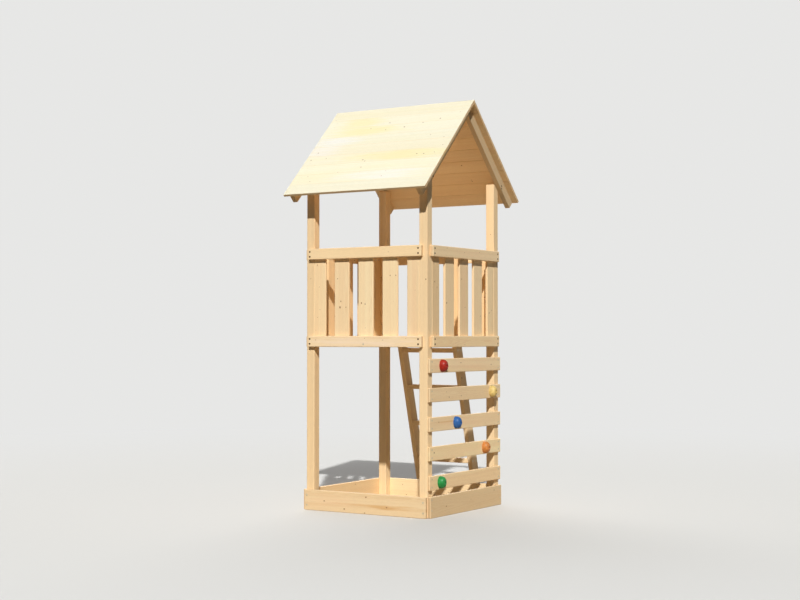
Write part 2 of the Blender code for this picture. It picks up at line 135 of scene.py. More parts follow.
# Holds
HOLD_WIDTH = 0.070
HOLD_HEIGHT = 0.086
HOLD_DEPTH = 0.045
HOLD_FULLNESS = 0.75
HOLD_TOP = math.radians(78)
HOLD_STEPS = 20
HOLD_RIM = 0.0012
HOLD_SEAT_DEPTH = 0.014
HOLD_RECESS_RADIUS = 0.0085
HOLD_BORE_RADIUS = 0.0035
HOLD_BLEND = 0.010
HOLD_SWELL_SCALE = 38
HOLD_SWELL_SHIFT = 50
HOLD_UNEVENNESS = 0.0009
BOLT_SOCKET_SIDES = 6
HOLD_COLOURS = {
    "green": (0.025, 0.28, 0.065), "orange": (0.64, 0.24, 0.06), "blue": (0.03, 0.13, 0.40),
    "yellow": (0.76, 0.56, 0.20), "red": (0.38, 0.022, 0.012),
}

# Wood colours: early wood, late wood and the warmer bands between them. The roof colours are
# paler: painted sunlight for the roof's faces that look up
SPRUCE = ((0.94, 0.72, 0.44), (0.80, 0.53, 0.28), (0.86, 0.58, 0.31))
ROOF_PAINTED_SUNLIGHT = ((0.81, 0.76, 0.59), (0.77, 0.69, 0.47), (0.785, 0.71, 0.435))
BRIGHTEST_WOOD = 0.94
KNOT_CORE = (0.34, 0.16, 0.07, 1)
KNOT_RIM = (0.13, 0.055, 0.025, 1)
SAWN_TINT = (0.80, 0.75, 0.71, 1)
RING_WIDTH = 0.0028

# Tints for stretches of wood with a tone of their own
YELLOW_TINT = (1.0, 0.965, 0.76, 1)
PALE_TINT = (1.01, 1.03, 1.21, 1)
PINK_TINT = (1.01, 0.965, 0.97, 1)
BROWN_TINT = (0.86, 0.72, 0.54, 1)
PATCH_DEPTH = 0.02

# Floor and backdrop
BACKDROP = (0.80, 0.80, 0.79, 1)
FLOOR = (0.66, 0.66, 0.65, 1)
BOUNCE_NEAR = (0.39, 0.31, 0.205, 1)
BOUNCE_FAR = (0.10, 0.085, 0.06, 1)
FLOOR_RADIUS = 60

# Camera, at the photograph's point of view, low and long
CAMERA_PLACE = (5.6425, -9.1203, 1.2428)
CAMERA_TURN = (math.pi / 2 + 0.0241, 0, 0.5631)
CAMERA_LENS = 65.68

# Knots seen on a face from outside: share of its width from the left, share of its height
# from the bottom, and radius in millimetres
KNOTS = {
    "slat_front_1": ((0.44, 0.61, 2.5), (0.51, 0.38, 2), (0.29, 0.30, 2), (0.14, 0.17, 2)),
    "slat_front_2": ((0.21, 0.69, 3.5), (0.44, 0.46, 4), (0.38, 0.40, 6), (0.79, 0.40, 3),
                     (0.03, 0.31, 2.5)),
    "slat_front_3": ((0.22, 0.44, 5), (0.47, 0.43, 4), (0.49, 0.19, 2)),
    "slat_front_4": ((0.52, 0.71, 3.5), (0.90, 0.71, 3.5)),
    "slat_front_5": ((0.67, 0.56, 2),),
    "slat_right_2": ((0.16, 0.44, 5),),
    "slat_right_5": ((0.28, 0.35, 4), (0.67, 0.38, 3)),
    "upper_rail_front": ((0.72, 0.49, 2),),
    "lower_rail_front": ((0.07, 0.64, 2.5), (0.51, 0.79, 2.5), (0.67, 0.64, 2.5),
                         (0.87, 0.79, 2)),
    "lower_rail_right": ((0.46, 0.20, 2.5),),
    "sandbox_board_front": ((0.52, 0.82, 5), (0.17, 0.50, 4.5), (0.34, 0.18, 5),
                            (0.69, 0.40, 4.5), (0.51, 0.06, 4), (0.02, 0.71, 3.5)),
    "sandbox_board_right": ((0.21, 0.45, 4), (0.55, 0.56, 3), (0.89, 0.80, 4)),
    "climbing_board_1": ((0.90, 0.52, 2.5),),
    "climbing_board_2": ((0.06, 0.57, 5),),
    "climbing_board_3": ((0.12, 0.63, 3),),
}

# Knots of the roof's front boards, counted from the ridge: share of the length from the
# left, share of the width down the slope, and radius in millimetres
ROOF_KNOTS = {
    1: ((0.03, 0.91, 2.5),),
    2: ((0.47, 0.77, 4), (0.83, 0.78, 4.5), (0.95, 0.24, 2.5)),
    3: ((0.60, 0.40, 5), (0.35, 0.24, 3), (0.47, 0.54, 3.5), (0.72, 0.07, 4)),
    4: ((0.83, 0.55, 3),),
    5: ((0.96, 0.77, 3), (0.06, 0.60, 4)),
    6: ((0.04, 0.37, 4), (0.15, 0.29, 3), (0.44, 0.76, 4.5), (0.46, 0.91, 3.5),
        (0.81, 0.53, 4), (0.86, 0.58, 4), (0.93, 0.50, 3)),
    7: ((0.46, 0.55, 3.5), (0.31, 0.94, 2.5)),
    8: ((0.66, 0.15, 2.5), (0.65, 0.65, 3), (0.14, 0.74, 3), (0.10, 0.18, 2.5)),
}

# Stretches with a tone of their own on a face from outside: share of its width from the
# left, share of its height from the bottom, half length and half width in metres, and tint
PATCHES = {
    "sandbox_board_front": ((0.70, 0.40, 0.36, 0.020, BROWN_TINT),
                            (0.20, 0.50, 0.36, 0.060, PINK_TINT)),
    "climbing_board_2": ((0.40, 0.35, 0.34, 0.040, PINK_TINT),),
    "climbing_board_3": ((0.22, 0.62, 0.20, 0.006, BROWN_TINT),
                         (0.50, 0.50, 0.40, 0.040, PINK_TINT)),
    "climbing_board_5": ((0.60, 0.50, 0.34, 0.050, PINK_TINT),),
    "lower_rail_front": ((0.50, 0.50, 0.60, 0.050, PALE_TINT),),
    "upper_rail_right": ((0.60, 0.50, 0.30, 0.030, PINK_TINT),),
    "slat_front_5": ((0.50, 0.50, 0.40, 0.040, PINK_TINT),),
    "slat_right_3": ((0.50, 0.55, 0.30, 0.040, PINK_TINT),),
}

# The same on the roof's front boards, counted from the ridge: the two ends along X, and tint
ROOF_PATCHES = {
    2: (-0.50, -0.10, YELLOW_TINT),
    3: (-0.55, 0.12, YELLOW_TINT),
    4: (-0.66, -0.22, PALE_TINT),
    5: (-0.66, -0.32, PALE_TINT),
    6: (-0.22, 0.75, YELLOW_TINT),
    8: (-0.25, 0.60, PALE_TINT),
}

# Timbers made brighter or darker, and warmer or cooler, by how their names start: brightness and
# warmth. The back right rafter is darkened as painted shade, as if the roof shaded it
TIMBER_TONES_AND_PAINTED_SHADE = {
    "climbing_board_2": (1.10, -0.04),
    "lower_rail_front": (1.05, -0.04),
    "lower_rail_right": (1.03, 0),
    "post_front_left": (0.97, 0),
    # Painted shade: this rafter is darkened as if the roof shaded it
    "rafter_back_right": (0.66, 0.04),
    "sandbox_board_front": (0.85, 0),
    "sandbox_board_left": (0.97, 0.15),
    "sandbox_board_right": (0.82, 0),
    "slat_back": (0.98, 0.14),
    "slat_front_1": (1.03, 0),
    "slat_front_3": (1.04, 0),
    "slat_front_4": (1.04, 0),
    "slat_left": (0.98, 0.14),
    "slat_right_1": (0.90, 0.06),
}


# Shader building
def feed(tree, node, inputs):
    """Gives each named input of a node a socket to link or a plain value."""
    for key, value in inputs.items():
        if isinstance(value, bpy.types.NodeSocket):
            tree.links.new(value, node.inputs[key])
        else:
            node.inputs[key].default_value = value


def put(tree, kind, inputs=None, **settings):
    """Adds a shader node. An input takes a socket to link or a plain value."""
    node = tree.nodes.new(kind)
    for name, value in settings.items():
        setattr(node, name, value)
    feed(tree, node, inputs or {})
    return node


def place_group(tree, group, inputs):
    """Outputs of a shader node group placed in a material."""
    return put(tree, "ShaderNodeGroup", inputs, node_tree=group).outputs


def sums(tree, operation, *values):
    """Output of a Math node."""
    return put(tree, "ShaderNodeMath", dict(enumerate(values)), operation=operation).outputs[0]


def vectors(tree, operation, *values):
    """Output of a Vector Math node, its number for a length or a dot product."""
    node = put(tree, "ShaderNodeVectorMath", dict(enumerate(values)), operation=operation)
    return node.outputs["Value" if operation in ("LENGTH", "DOT_PRODUCT") else "Vector"]


def scaled(tree, vector, factor):
    """A vector times a number."""
    inputs = {0: vector, "Scale": factor}
    return put(tree, "ShaderNodeVectorMath", inputs, operation="SCALE").outputs[0]


def blend(tree, factor, first, second, way="MIX"):
    """Output of a colour Mix node."""
    inputs = {"Factor": factor, 6: first, 7: second}
    node = put(tree, "ShaderNodeMix", inputs, data_type="RGBA", blend_type=way)
    return node.outputs[2]


def washed(tree, colour, tint):
    """A colour multiplied by a tint."""
    return blend(tree, 1.0, colour, tint, "MULTIPLY")


def ease(tree, value, low, high, start=0.0, end=1.0):
    """A value eased from start to end as it goes from low to high."""
    inputs = {"Value": value, "From Min": low, "From Max": high, "To Min": start, "To Max": end}
    return put(tree, "ShaderNodeMapRange", inputs, interpolation_type="SMOOTHSTEP").outputs[0]


def cloud(tree, vector, seed, detail=2.0, colour=False):
    """A soft noise between 0 and 1 at the vector's own scale."""
    inputs = {"Vector": vector, "W": seed, "Scale": 1.0, "Detail": detail}
    node = put(tree, "ShaderNodeTexNoise", inputs, noise_dimensions="4D")
    return node.outputs["Color" if colour else "Fac"]


def object_place(tree):
    """The place on the piece, in the piece's own coordinates."""
    return put(tree, "ShaderNodeTexCoord").outputs["Object"]


def new_group(name, inputs, outputs):
    """A shader node group with named sockets, what it is given, and its end node."""
    group = bpy.data.node_groups.new(name, "ShaderNodeTree")
    for way, sockets in (("INPUT", inputs), ("OUTPUT", outputs)):
        for label, kind in sockets.items():
            group.interface.new_socket(label, in_out=way, socket_type="NodeSocket" + kind)
    given = group.nodes.new("NodeGroupInput").outputs
    return group, given, group.nodes.new("NodeGroupOutput")


def make_grain_group():
    """Growth rings round a pith, growth bands, pin knots and fibres, seen on any face.

    The vector is in metres with X along the grain, so end faces show the rings as arcs.
    """
    group, given, result = new_group(
        "spruce_grain",
        {"Vector": "Vector", "Axis": "Vector", "Seed": "Float", "Pith": "Vector",
         "Ring Width": "Float", "Early Wood": "Color", "Late Wood": "Color",
         "Heart Wood": "Color", "Heart Share": "Float", "Ring Strength": "Float"},
        {"Color": "Color", "Roughness": "Float", "Height": "Float"},
    )
    vector = given["Vector"]
    seed = given["Seed"]
    late_wood = given["Late Wood"]

    # Distance from the pith, which wanders along the timber
    wander = cloud(group, vectors(group, "MULTIPLY", vector, (0.9, 0, 0)), seed, colour=True)
    wander = vectors(group, "SUBTRACT", wander, (0.5, 0.5, 0.5))
    wander = vectors(group, "MULTIPLY", wander, (0, 0.030, 0.030))
    centred = vectors(group, "SUBTRACT", vector, given["Pith"])
    centred = vectors(group, "ADD", centred, wander)
    radius = vectors(group, "LENGTH", vectors(group, "MULTIPLY", centred, (0, 1, 1)))
    wobble = cloud(group, vectors(group, "MULTIPLY", vector, (5, 60, 60)), seed)
    radius = sums(group, "MULTIPLY_ADD", wobble, 0.005, radius)
    along = put(group, "ShaderNodeSeparateXYZ", {0: vector}).outputs[0]
    radius = sums(group, "MULTIPLY_ADD", along, 0.008, radius)

    # Late wood darkens each ring and stops sharply, and some years are stronger
    phase = sums(group, "FRACT", sums(group, "DIVIDE", radius, given["Ring Width"]))
    late = sums(group, "MULTIPLY", ease(group, phase, 0.30, 0.90),
                ease(group, phase, 0.93, 1.0, 1.0, 0.0))
    years = put(group, "ShaderNodeCombineXYZ", {0: sums(group, "MULTIPLY", radius, 55.0)})
    years = ease(group, cloud(group, years.outputs[0], seed, detail=3.0), 0.35, 0.68)

    # Long warm bands and fine fibres
    bands = cloud(group, vectors(group, "MULTIPLY", vector, (1.3, 22, 22)), seed, detail=3.0)
    bands = sums(group, "MULTIPLY", ease(group, bands, 0.42, 0.72), given["Heart Share"])
    fibre = cloud(group, vectors(group, "MULTIPLY", vector, (40, 1400, 1400)), seed)

    strength = sums(group, "MULTIPLY", given["Ring Strength"],
                    sums(group, "MULTIPLY_ADD", years, 0.7, 0.3))
    rings = sums(group, "MULTIPLY", late, strength)
    colour = blend(group, rings, given["Early Wood"], late_wood)
    colour = blend(group, sums(group, "MULTIPLY", years, 0.25), colour, late_wood)
    colour = blend(group, bands, colour, given["Heart Wood"])
    shade = ease(group, fibre, 0.3, 0.7, 0.93, 1.04)
    shade = put(group, "ShaderNodeCombineXYZ", {0: shade, 1: shade, 2: shade}).outputs[0]
    colour = washed(group, colour, shade)

    # Pin knots in half of the cells
    shifted = vectors(group, "MULTIPLY_ADD", vector, (6, 15, 15), seed)
    cells = put(group, "ShaderNodeTexVoronoi", {"Vector": shifted, "Scale": 1.0})
    chosen = put(group, "ShaderNodeSeparateXYZ", {0: cells.outputs["Color"]}).outputs[0]
    pins = sums(group, "MULTIPLY", ease(group, cells.outputs["Distance"], 0.03, 0.06, 1.0, 0.0),
                sums(group, "GREATER_THAN", chosen, 0.5))
    colour = blend(group, sums(group, "MULTIPLY", pins, 0.7), colour, KNOT_CORE)

    # Sawn ends are darker and rougher
    facing = put(group, "ShaderNodeTexCoord").outputs["Normal"]
    facing = vectors(group, "DOT_PRODUCT", facing, given["Axis"])
    sawn = ease(group, sums(group, "ABSOLUTE", facing), 0.75, 0.92)
    colour = blend(group, sawn, colour, washed(group, colour, SAWN_TINT))

    rough = sums(group, "MULTIPLY_ADD", late, -0.10, 0.62)
    rough = sums(group, "MULTIPLY_ADD", sawn, 0.2, rough)
    height = sums(group, "SUBTRACT", sums(group, "MULTIPLY", fibre, 0.6),
                  sums(group, "MULTIPLY", late, 0.5))
    feed(group, result, {"Color": colour, "Roughness": rough, "Height": height})
    return group


def make_knot_group():
    """One branch knot: its dark core and rim, and the grain pushed aside round it."""
    group, given, result = new_group(
        "branch_knot",
        {"Vector": "Vector", "Grain": "Vector", "Place": "Vector", "Axis": "Vector",
         "Radius": "Float"},
        {"Grain": "Vector", "Core": "Float", "Rim": "Float"},
    )
    radius = given["Radius"]
    axis = given["Axis"]
    offset = vectors(group, "SUBTRACT", given["Vector"], given["Place"])
    deep = scaled(group, axis, vectors(group, "DOT_PRODUCT", offset, axis))
    flat = vectors(group, "SUBTRACT", offset, deep)

    spread = vectors(group, "LENGTH", vectors(group, "MULTIPLY", flat, (0.75, 1, 1)))
    ragged = cloud(group, scaled(group, given["Vector"], 260.0), 1.0)
    spread = sums(group, "DIVIDE", spread, radius)
    spread = sums(group, "MULTIPLY_ADD", sums(group, "SUBTRACT", ragged, 0.5), 0.5, spread)
    core = ease(group, spread, 0.80, 1.10, 1.0, 0.0)
    rim = sums(group, "MULTIPLY", core, ease(group, spread, 0.55, 0.95))

    reach = vectors(group, "LENGTH", vectors(group, "MULTIPLY", flat, (0.30, 1, 1)))
    reach = sums(group, "DIVIDE", reach, sums(group, "MULTIPLY", radius, 2.2))
    reach = sums(group, "MULTIPLY", sums(group, "MULTIPLY", reach, reach), -1.0)
    pull = sums(group, "EXPONENT", reach)
    shift = scaled(group, vectors(group, "MULTIPLY", flat, (0, -0.8, -0.8)), pull)
    grain = vectors(group, "ADD", given["Grain"], shift)
    feed(group, result, {"Grain": grain, "Core": core, "Rim": rim})
    return group


def make_patch_group():
    """How far a place lies inside a soft-edged stretch of wood."""
    group, given, result = new_group(
        "tone_patch",
        {"Vector": "Vector", "Place": "Vector", "Half Size": "Vector"},
        {"Share": "Float"},
    )
    vector = given["Vector"]
    offset = vectors(group, "SUBTRACT", vector, given["Place"])
    offset = vectors(group, "DIVIDE", offset, given["Half Size"])
    ragged = cloud(group, vectors(group, "MULTIPLY", vector, (4, 60, 60)), 2.0, detail=4.0)
    ragged = sums(group, "SUBTRACT", ragged, 0.5)
    distance = sums(group, "MULTIPLY_ADD", ragged, 2.2, vectors(group, "LENGTH", offset))
    feed(group, result, {"Share": ease(group, distance, 0.25, 1.30, 1.0, 0.0)})
    return group


def make_plating_group():
    """Slightly uneven plating: paler where it is worn, and glossier in places."""
    group, given, result = new_group(
        "uneven_plating",
        {"Vector": "Vector", "Plating": "Color", "Worn Plating": "Color", "Roughness": "Float"},
        {"Color": "Color", "Roughness": "Float"},
    )
    patches = cloud(group, scaled(group, given["Vector"], 700.0), 0.0)
    colour = blend(group, ease(group, patches, 0.45, 0.75), given["Plating"],
                   given["Worn Plating"])
    rough = sums(group, "ADD", given["Roughness"],
                 ease(group, patches, 0.3, 0.7, -0.08, 0.08))
    feed(group, result, {"Color": colour, "Roughness": rough})
    return group


def make_resin_group():
    """Moulded resin: a little mottled, with a fine sanded grip and a soft gloss."""
    group, given, result = new_group(
        "moulded_resin",
        {"Vector": "Vector", "Resin": "Color", "Deep Resin": "Color"},
        {"Color": "Color", "Roughness": "Float", "Height": "Float"},
    )
    vector = given["Vector"]
    swirl = ease(group, cloud(group, scaled(group, vector, 55.0), 3.0, detail=4.0), 0.35, 0.7)
    colour = blend(group, swirl, given["Deep Resin"], given["Resin"])
    grit = cloud(group, scaled(group, vector, 1600.0), 1.0, detail=3.0)
    rough = ease(group, grit, 0.35, 0.7, 0.30, 0.48)
    feed(group, result, {"Color": colour, "Roughness": rough, "Height": grit})
    return group


# Materials
def new_material(name):
    """A material with its node tree and its shader."""
    material = bpy.data.materials.new(name)
    material.use_nodes = True
    tree = material.node_tree
    return material, tree, tree.nodes["Principled BSDF"]


def timber_turn(grain, face):
    """The turn of a timber's own axes: X along the grain and Z out of its main face."""
    across = face.cross(grain)
    return Matrix((grain, across, face)).transposed()


def tinted(colour, brightness, warmth):
    """A wood colour made a little brighter or darker, and warmer or cooler."""
    red, green, blue = colour
    tint = (red * brightness, green * brightness * (1 - 0.4 * warmth),
            blue * brightness * (1 - warmth))
    return (*(min(value, BRIGHTEST_WOOD) for value in tint), 1.0)


def bend_round_knots(tree, place, knots, middle, own):
    """The grain bent round each knot, and masks of the knots' cores and rims."""
    bent, core, rim = place, 0.0, 0.0
    for point, radius, axis in knots:
        knot = place_group(tree, knot_group, {
            "Vector": place, "Grain": bent, "Place": own @ (point - middle),
            "Axis": own @ axis, "Radius": radius,
        })
        bent = knot["Grain"]
        core = sums(tree, "MAXIMUM", core, knot["Core"])
        rim = sums(tree, "MAXIMUM", rim, knot["Rim"])
    return bent, core, rim


def lay_patches(tree, colour, bent, patches, middle, own):
    """A wood colour with the stretches that have a tone of their own."""
    for point, half_size, tint in patches:
        patch = place_group(tree, patch_group, {
            "Vector": bent, "Place": own @ (point - middle), "Half Size": half_size,
        })
        colour = blend(tree, patch["Share"], colour, washed(tree, colour, tint))
    return colour


def make_wood(name, middle, grain, face, knots=(), patches=(), top=None,
              heart=0.25, rings=0.5, brightness=1.0, warmth=0.0):
    """Wood for one timber. Each knot is a place on the timber, its radius and its axis.

    Each patch is a place, its half size along, across and into the timber, and a tint.
    Where top is given, the faces that look up have those wood colours, paler ones that paint the
    sunlight on them.
    """
    turn = timber_turn(grain, face)
    own = turn.inverted()
    material, tree, shader = new_material(name)
    place = put(tree, "ShaderNodeMapping",
                {"Vector": object_place(tree), "Location": middle, "Rotation": turn.to_euler()},
                vector_type="TEXTURE").outputs[0]
    bent, core, rim = bend_round_knots(tree, place, knots, middle, own)

    chance = random.Random(name)
    brightness *= chance.uniform(0.955, 1.03)
    warmth += chance.uniform(-0.05, 0.05)
    away = chance.uniform(0.035, 0.085)
    bearing = chance.uniform(0, math.tau)
    pith = (0, away * math.cos(bearing), away * math.sin(bearing))
    seed = chance.uniform(0, 90)

    def grown(wood):
        """Outputs of the grain in the given wood colours."""
        early, late, warm = (tinted(colour, brightness, warmth) for colour in wood)
        return place_group(tree, grain_group, {
            "Vector": bent, "Axis": grain, "Seed": seed, "Pith": pith,
            "Ring Width": RING_WIDTH * chance.uniform(0.8, 1.25), "Early Wood": early,
            "Late Wood": late, "Heart Wood": warm, "Heart Share": heart,
            "Ring Strength": rings,
        })

    figure = grown(SPRUCE)
    colour = figure["Color"]
    # Painted sunlight: faces that look up blend into the paler top colours
    if top:
        painted_sun_facing = put(tree, "ShaderNodeTexCoord").outputs["Normal"]
        painted_sun_facing = vectors(tree, "DOT_PRODUCT", painted_sun_facing, UPRIGHT)
        colour = blend(tree, ease(tree, painted_sun_facing, 0.2, 0.5), colour, grown(top)["Color"])
    colour = lay_patches(tree, colour, bent, patches, middle, own)
    if knots:
        colour = blend(tree, sums(tree, "MULTIPLY", core, 0.85), colour, KNOT_CORE)
        colour = blend(tree, sums(tree, "MULTIPLY", rim, 0.8), colour, KNOT_RIM)
    bump = put(tree, "ShaderNodeBump",
               {"Height": figure["Height"], "Strength": 0.5, "Distance": 0.0003})
    feed(tree, shader, {"Base Color": colour, "Roughness": figure["Roughness"],
                        "Normal": bump.outputs[0], "Specular IOR Level": 0.35})
    return material


def make_steel(name, colour, roughness):
    """Plated steel with a slightly uneven coat."""
    material, tree, shader = new_material(name)
    worn = [value * 1.5 for value in colour]
    plating = place_group(tree, plating_group, {
        "Vector": object_place(tree), "Plating": (*colour, 1), "Worn Plating": (*worn, 1),
        "Roughness": roughness,
    })
    feed(tree, shader, {"Base Color": plating["Color"], "Roughness": plating["Roughness"],
                        "Metallic": 1.0})
    return material


def make_plastic(name, colour):
    """Moulded resin in one colour."""
    material, tree, shader = new_material(name)
    deep = [value * 0.72 for value in colour]
    resin = place_group(tree, resin_group, {
        "Vector": object_place(tree), "Resin": (*colour, 1), "Deep Resin": (*deep, 1),
    })
    bump = put(tree, "ShaderNodeBump",
               {"Height": resin["Height"], "Strength": 0.35, "Distance": 0.0004})
    feed(tree, shader, {"Base Color": resin["Color"], "Roughness": resin["Roughness"],
                        "Normal": bump.outputs[0], "Specular IOR Level": 0.25})
    return material


grain_group = make_grain_group()
knot_group = make_knot_group()
patch_group = make_patch_group()
plating_group = make_plating_group()
resin_group = make_resin_group()
screw_steel = make_steel("screw_steel", colour=(0.075, 0.036, 0.015), roughness=0.55)
bolt_steel = make_steel("bolt_steel", colour=(0.60, 0.52, 0.38), roughness=0.38)


# CAD timbers
def middle_of(node):
    """The middle of a CAD node's box."""
    low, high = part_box(node)
    return (low + high) / 2


def side_face(node, end):
    """X of a CAD node's left or right face."""
    low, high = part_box(node)
    return high.x if end == "right" else low.x


def nodes_named(start):
    """The CAD nodes whose names start with the given words."""
    return [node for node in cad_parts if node.startswith(start)]


def face_point(node, side, from_left, from_bottom):
    """A point on a node's box by its shares from the left and from the bottom."""
    low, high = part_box(node)
    point = (low + high) / 2
    for axis, share in ((UPRIGHT.cross(OUTWARD[side]), from_left), (UPRIGHT, from_bottom)):
        point = point + axis * abs(axis.dot(high - low)) * (share - 0.5)
    return point


def scattered_knots(chance, most, margin):
    """A few knots at random, as shares of length and width and radii in millimetres."""
    return [(chance.uniform(margin, 1 - margin), chance.uniform(0.1, 0.9), chance.uniform(2, 4.5))
            for _ in range(chance.randint(1, most))]


def node_knots(node, side):
    """The listed knots of a node, and a few of its own where none are listed."""
    shares = KNOTS.get(node)
    if shares is None:
        shares = scattered_knots(random.Random(node + " knots"), most=3, margin=0.1)
    return [(face_point(node, side, from_left, from_bottom), radius / 1000, OUTWARD[side])
            for from_left, from_bottom, radius in shares]


def dress_timber(node, grain, side, **looks):
    """Gives a CAD timber its own wood."""
    # Listed brightness and warmth; for the back right rafter this is painted shade
    brightness, warmth = next((shade for start, shade in TIMBER_TONES_AND_PAINTED_SHADE.items()
                               if node.startswith(start)), (1.0, 0.0))
    patches = [(face_point(node, side, from_left, from_bottom),
                (length, width, PATCH_DEPTH), tint)
               for from_left, from_bottom, length, width, tint in PATCHES.get(node, ())]
    wood = make_wood("wood_" + node, middle_of(node), grain, OUTWARD[side],
                     node_knots(node, side), patches, brightness=brightness,
                     warmth=warmth, **looks)
    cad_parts[node].material_slots[0].material = wood


def dress_timbers():
    """Wood for every timber whose CAD shape stays."""
    sideways = {"front": ALONG_X, "back": ALONG_X, "left": ALONG_Y, "right": ALONG_Y}
    up_ladder = Vector((0, -math.sin(LADDER_LEAN), math.cos(LADDER_LEAN)))
    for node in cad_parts:
        words = node.split("_")
        if words[0] in ("post", "slat"):
            dress_timber(node, UPRIGHT, words[1])
        elif words[1] == "rail" or words[0] == "sandbox":
            dress_timber(node, sideways[words[2]], words[2])
        elif words[0] == "climbing":
            dress_timber(node, ALONG_Y, "right", heart=0.4)
        elif words[:2] == ["deck", "joist"]:
            dress_timber(node, ALONG_Y, "right")
        elif words[:2] == ["ladder", "tread"]:
            dress_timber(node, ALONG_X, "back")
        elif words[:2] == ["ladder", "stringer"]:
            dress_timber(node, up_ladder, words[2])
        elif words[0] == "rafter":
            down_slope, _ = slope_axes(words[1])
            dress_timber(node, down_slope, words[2])


# Pieces
def as_mesh(name, shape):
    """A mesh made from a bmesh, which is then freed."""
    mesh = bpy.data.meshes.new(name)
    shape.to_mesh(mesh)
    shape.free()
    return mesh


def add_object(name, data):
    """A new object in the scene."""
    added = bpy.data.objects.new(name, data)
    bpy.context.collection.objects.link(added)
    return added


def new_piece(name, shape, material, sharp_angle=None):
    """Makes a piece from a bmesh, in its finish, riding on the tower.

    It is shaded smooth up to the sharp angle where one is given.
    """
    bmesh.ops.recalc_face_normals(shape, faces=shape.faces)
    mesh = as_mesh(name, shape)
    mesh.materials.append(material)
    if sharp_angle is not None:
        mesh.shade_smooth()
        mesh.set_sharp_from_angle(angle=sharp_angle)
    piece = add_object(name, mesh)
    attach(piece, "root")
    return piece


def turned(profile, segments):
    """A shape spun round Z from a profile of (radius, height) points, its poles closed."""
    shape = bmesh.new()
    points = [shape.verts.new((radius, 0, height)) for radius, height in profile]
    edges = [shape.edges.new(pair) for pair in zip(points, points[1:])]
    bmesh.ops.spin(shape, geom=points + edges, cent=(0, 0, 0), axis=(0, 0, 1),
                   angle=math.tau, steps=segments, use_merge=True)
    bmesh.ops.remove_doubles(shape, verts=shape.verts, dist=MERGE_DISTANCE)
    bmesh.ops.recalc_face_normals(shape, faces=shape.faces)
    return shape


def draw_out(shape, faces, reach):
    """Draws faces out into a solid along a vector."""
    drawn = bmesh.ops.extrude_face_region(shape, geom=faces)
    moved = [item for item in drawn["geom"] if isinstance(item, bmesh.types.BMVert)]
    bmesh.ops.translate(shape, vec=reach, verts=moved)


def screw_template():
    """A countersunk screw, its head at z = 0 and its point down, with a lobed socket."""
    shape = turned((
        (0, -SOCKET_DEPTH), (SOCKET_RADIUS * 0.9, -SOCKET_DEPTH), (SOCKET_RADIUS, HEAD_PROUD),
        (0.0050, HEAD_PROUD), (HEAD_RADIUS, 0), (0.0024, -0.0022), (0.0020, -0.0026),
        (0.0020, -0.0070), (0.0002, -0.0100), (0, -0.0100),
    ), segments=24)
    for vertex in shape.verts:
        distance = vertex.co.xy.length
        if 0.0005 < distance <= SOCKET_RADIUS * 1.01 and vertex.co.z > -0.002:
            angle = math.atan2(vertex.co.y, vertex.co.x)
            vertex.co.xy *= 1 + SOCKET_LOBE_SHARE * math.cos(SOCKET_LOBES * angle)
    return as_mesh("screw_template", shape)


def nail_template():
    """A flat round nail head with a slightly domed top, on a short shank."""
    shape = turned((
        (0, NAIL_PROUD), (NAIL_RADIUS * 0.8, NAIL_PROUD * 0.8), (NAIL_RADIUS, 0),
        (NAIL_RADIUS, -0.0006), (0.0011, -0.0008), (0.0011, -0.0080), (0, -0.0080),
    ), segments=16)
    return as_mesh("nail_template", shape)


def build_fasteners(name, template, spots, steel):
    """One piece that holds a fastener at each (head point, outward direction)."""
    chance = random.Random(name)
    shape = bmesh.new()
    for point, outward in spots:
        first = len(shape.verts)
        shape.from_mesh(template)
        shape.verts.ensure_lookup_table()
        spin = Matrix.Rotation(chance.uniform(0, math.tau), 4, "Z")
        stand = outward.to_track_quat("Z", "Y").to_matrix().to_4x4()
        bmesh.ops.transform(shape, matrix=Matrix.Translation(point) @ stand @ spin,
                            verts=shape.verts[first:])
    new_piece(name, shape, steel, SHARP_ANGLE)


# Screw places: each is a head point and the direction that the head looks to
def board_spots(node, side, reaches, heights):
    """Screw places on a board's outer face at heights over its lower edge.

    The reaches are how far the left and the right places lie from the side's middle.
    """
    low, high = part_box(node)
    outward = OUTWARD[side]
    middle = Vector((0, TOWER_Y, 0))
    corner = high if sum(outward) > 0 else low
    along = UPRIGHT.cross(outward)
    for end, reach in zip((-1, 1), reaches):
        for height in heights:
            point = middle + along * reach * end + UPRIGHT * (low.z + height)
            point += outward * (corner - middle).dot(outward)
            yield point, outward


def pair_heights(node, spacing):
    """Heights of two screws about the middle of a board, over its lower edge."""
    low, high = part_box(node)
    middle = (high.z - low.z) / 2
    return middle - spacing / 2, middle + spacing / 2


def deck_screws():
    """Two through every floor board into each joist."""
    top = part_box("deck_floor")[1].z
    for number in range(DECK_BOARDS):
        for joist in nodes_named("deck_joist"):
            for share in DECK_SCREW_SHARES:
                place = TOWER_Y - DECK_REACH + (number + share) * DECK_PITCH
                yield Vector((middle_of(joist).x, place, top)), UPRIGHT


def rail_screws():
    """Two at each end of every rail."""
    for side, insets in RAIL_SCREW_INSETS.items():
        reaches = [POST_MIDDLE - inset for inset in insets]
        for level in ("lower", "upper"):
            node = f"{level}_rail_{side}"
            yield from board_spots(node, side, reaches, pair_heights(node, RAIL_SCREW_SPACING))


def sandbox_screws():
    """Two at each end of the sandbox boards, higher on the left and right boards."""
    for side in OUTWARD:
        node = "sandbox_board_" + side
        lift = SANDBOX_SIDE_LIFT if side in ENDS else 0
        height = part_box(node)[1].z
        heights = (SANDBOX_SCREW_EDGE + lift, height - SANDBOX_SCREW_EDGE + lift)
        yield from board_spots(node, side, (SANDBOX_SCREW_REACH,) * 2, heights)


def climbing_screws():
    """Two at each end of the climbing boards."""
    for node in nodes_named("climbing_board"):
        heights = pair_heights(node, CLIMB_SCREW_SPACING)
        yield from board_spots(node, "right", (POST_MIDDLE,) * 2, heights)


